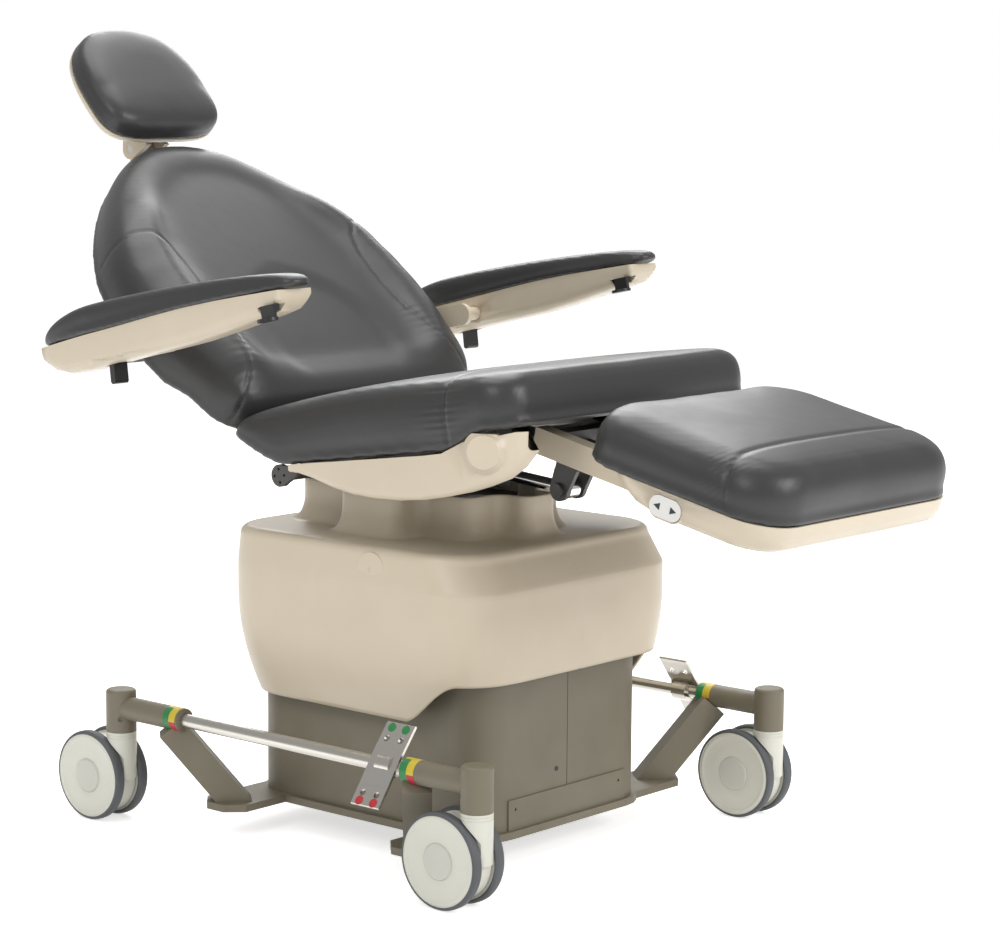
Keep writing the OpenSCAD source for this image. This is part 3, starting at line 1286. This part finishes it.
module foot_shell() color(cream) placed() at_leg() difference() {
    n = len(foot_shell_stations) - 1;
    union() {
        difference() {
            loft([for (s = foot_shell_stations) foot_ring(s, 0, s[0])]);
            loft([for (k = [0 : n]) let (s = foot_shell_stations[k])
                foot_ring(s, -foot_wall, s[0] + (k == n ? overrun : foot_wall * (n - k) / n))]);
        }
        at_switch() linear_extrude(switch_cup) oval(switch_rim);
    }
    both_sides() block([slide_rail_x - 4 * gap, slide_rail_end - overrun, 0],
        [beam_x + beam_w + 4 * gap, -foot_l / 2, foot_low + overrun]);
    at_switch() difference() {
        translate([0, 0, switch_floor]) linear_extrude(switch_cup) oval(3 * gap);
        block([-switch_ridge / 2, -switch_h, 0], [switch_ridge / 2, switch_h, switch_back - gap]);
    }
}
switch_back = switch_cup + switch_proud - switch_t;
// Own axes: z points out through the right hand wall of the foot rest's shell
module at_switch() mirror([1, 0, 0]) translate([foot_half - switch_cup, switch_y, switch_z]) rotate([90, 0, 90])
    children();
foot_levels_share = [
    [0.97, 0], [0.993, 0.14], [1, 0.34], [0.99, 0.56], [0.965, 0.74], [0.925, 0.87], [0.87, 0.95], [0.8, 0.985],
    [0.6, 1.01], [0.3, 1.025], [0.1, 1.03]
];
foot_mid = foot_back - foot_l / 2;
module foot_cushion() color(upholstery) placed() at_leg()
    loft(pad_rings(outline(box_corners(2 * foot_half, foot_l, foot_r, foot_mid), 0, 0, 8), [0, foot_mid],
        foot_levels_share, function (x, y) foot_low, function (x, y) foot_low + foot_h), true);
module foot_switch() color("#e9e8e4") placed() at_leg() at_switch()
    translate([0, 0, switch_back]) linear_extrude(switch_t) oval(0);
module oval(grow) {
    r = switch_h / 2 + grow;
    for (s = [-1, 1]) translate([s * (switch_l - switch_h) / 2, 0]) circle(r = r, $fn = 48);
    square([switch_l - switch_h, 2 * r], center = true);
}

// Leg drive
drive_at = in_seat(drive_pivot);
clevis_at = leg_at + turned(clevis, leg_slope);
drive_dir = clevis_at - drive_at;
drive_span = norm(drive_dir);
drive_turn = atan2(drive_dir[1], -drive_dir[0]);
// Own axes: the drive points along -Y from its rear pivot
module at_drive() translate([0, drive_at[0], drive_at[1]]) rotate([-drive_turn, 0, 0]) children();
module leg_drive() color(dark_steel) placed() at_drive() difference() {
    union() {
        pin([0, 0], -eye_w / 2, eye_w, cross_w - edge);
        block([-eye_w / 2, -drive_body_back - edge, -eye_w / 2], [eye_w / 2, 0, eye_w / 2]);
        translate([0, -drive_body_back, 0]) rotate([90, 0, 0])
            cylinder(d = drive_d, h = drive_span * 0.57 - drive_body_back, $fn = 48);
    }
    pin([0, 0], -eye_w, 2 * eye_w, bolt_d + 2 * run_fit);
    translate([0, -drive_body_back * 1.6, 0]) rotate([90, 0, 0])
        cylinder(d = drive_rod_d + 2 * run_fit, h = drive_span, $fn = 48);
}
module leg_drive_rod() color(bright_steel) placed() at_drive() {
    translate([0, -drive_span + eye_r / 2, 0]) rotate([-90, 0, 0])
        cylinder(d = drive_rod_d, h = drive_span * 0.55, $fn = 48);
    pin([-drive_span, 0], -eye_w / 2, eye_w, 2 * eye_r);
}

base_plate();
outriggers();
base_skirt();
kick_panel();
power_inlet();
column_outer();
shroud_mid();
lift_drive();
caster(-1, -1);  // caster_front_right
caster(1, -1);  // caster_front_left
caster(-1, 1);  // caster_rear_right
caster(1, 1);  // caster_rear_left
wheel(-1, -1, 1);  // wheel_front_right_outer
wheel(-1, -1, -1);  // wheel_front_right_inner
wheel(1, -1, 1);  // wheel_front_left_outer
wheel(1, -1, -1);  // wheel_front_left_inner
wheel(-1, 1, 1);  // wheel_rear_right_outer
wheel(-1, 1, -1);  // wheel_rear_right_inner
wheel(1, 1, 1);  // wheel_rear_left_outer
wheel(1, 1, -1);  // wheel_rear_left_inner
brake_rod(-1);  // brake_rod_right
brake_rod(1);  // brake_rod_left
brake_pedal(-1);  // brake_pedal_right
brake_pedal(1);  // brake_pedal_left
column_inner();
tilt_yoke();
cover_half(-1);  // cover_right
cover_half(1);  // cover_left
cover_plugs();
seat_frame();
seat_pan();
seat_cushion();
seat_side(-1);  // seat_side_right
seat_side(1);  // seat_side_left
seat_caps();
back_frame();
back_shell();
back_cushion();
arm_mounts();
arm_shell(-1);  // arm_shell_right
arm_shell(1);  // arm_shell_left
arm_pad(-1);  // arm_pad_right
arm_pad(1);  // arm_pad_left
arm_knob(-1);  // arm_knob_right
arm_knob(1);  // arm_knob_left
arm_latch(-1);  // arm_latch_right
arm_latch(1);  // arm_latch_left
head_bar();
head_bracket();
head_shell();
head_cushion();
leg_beams();
leg_bracket();
foot_slide();
foot_shell();
foot_cushion();
foot_switch();
leg_drive();
leg_drive_rod();
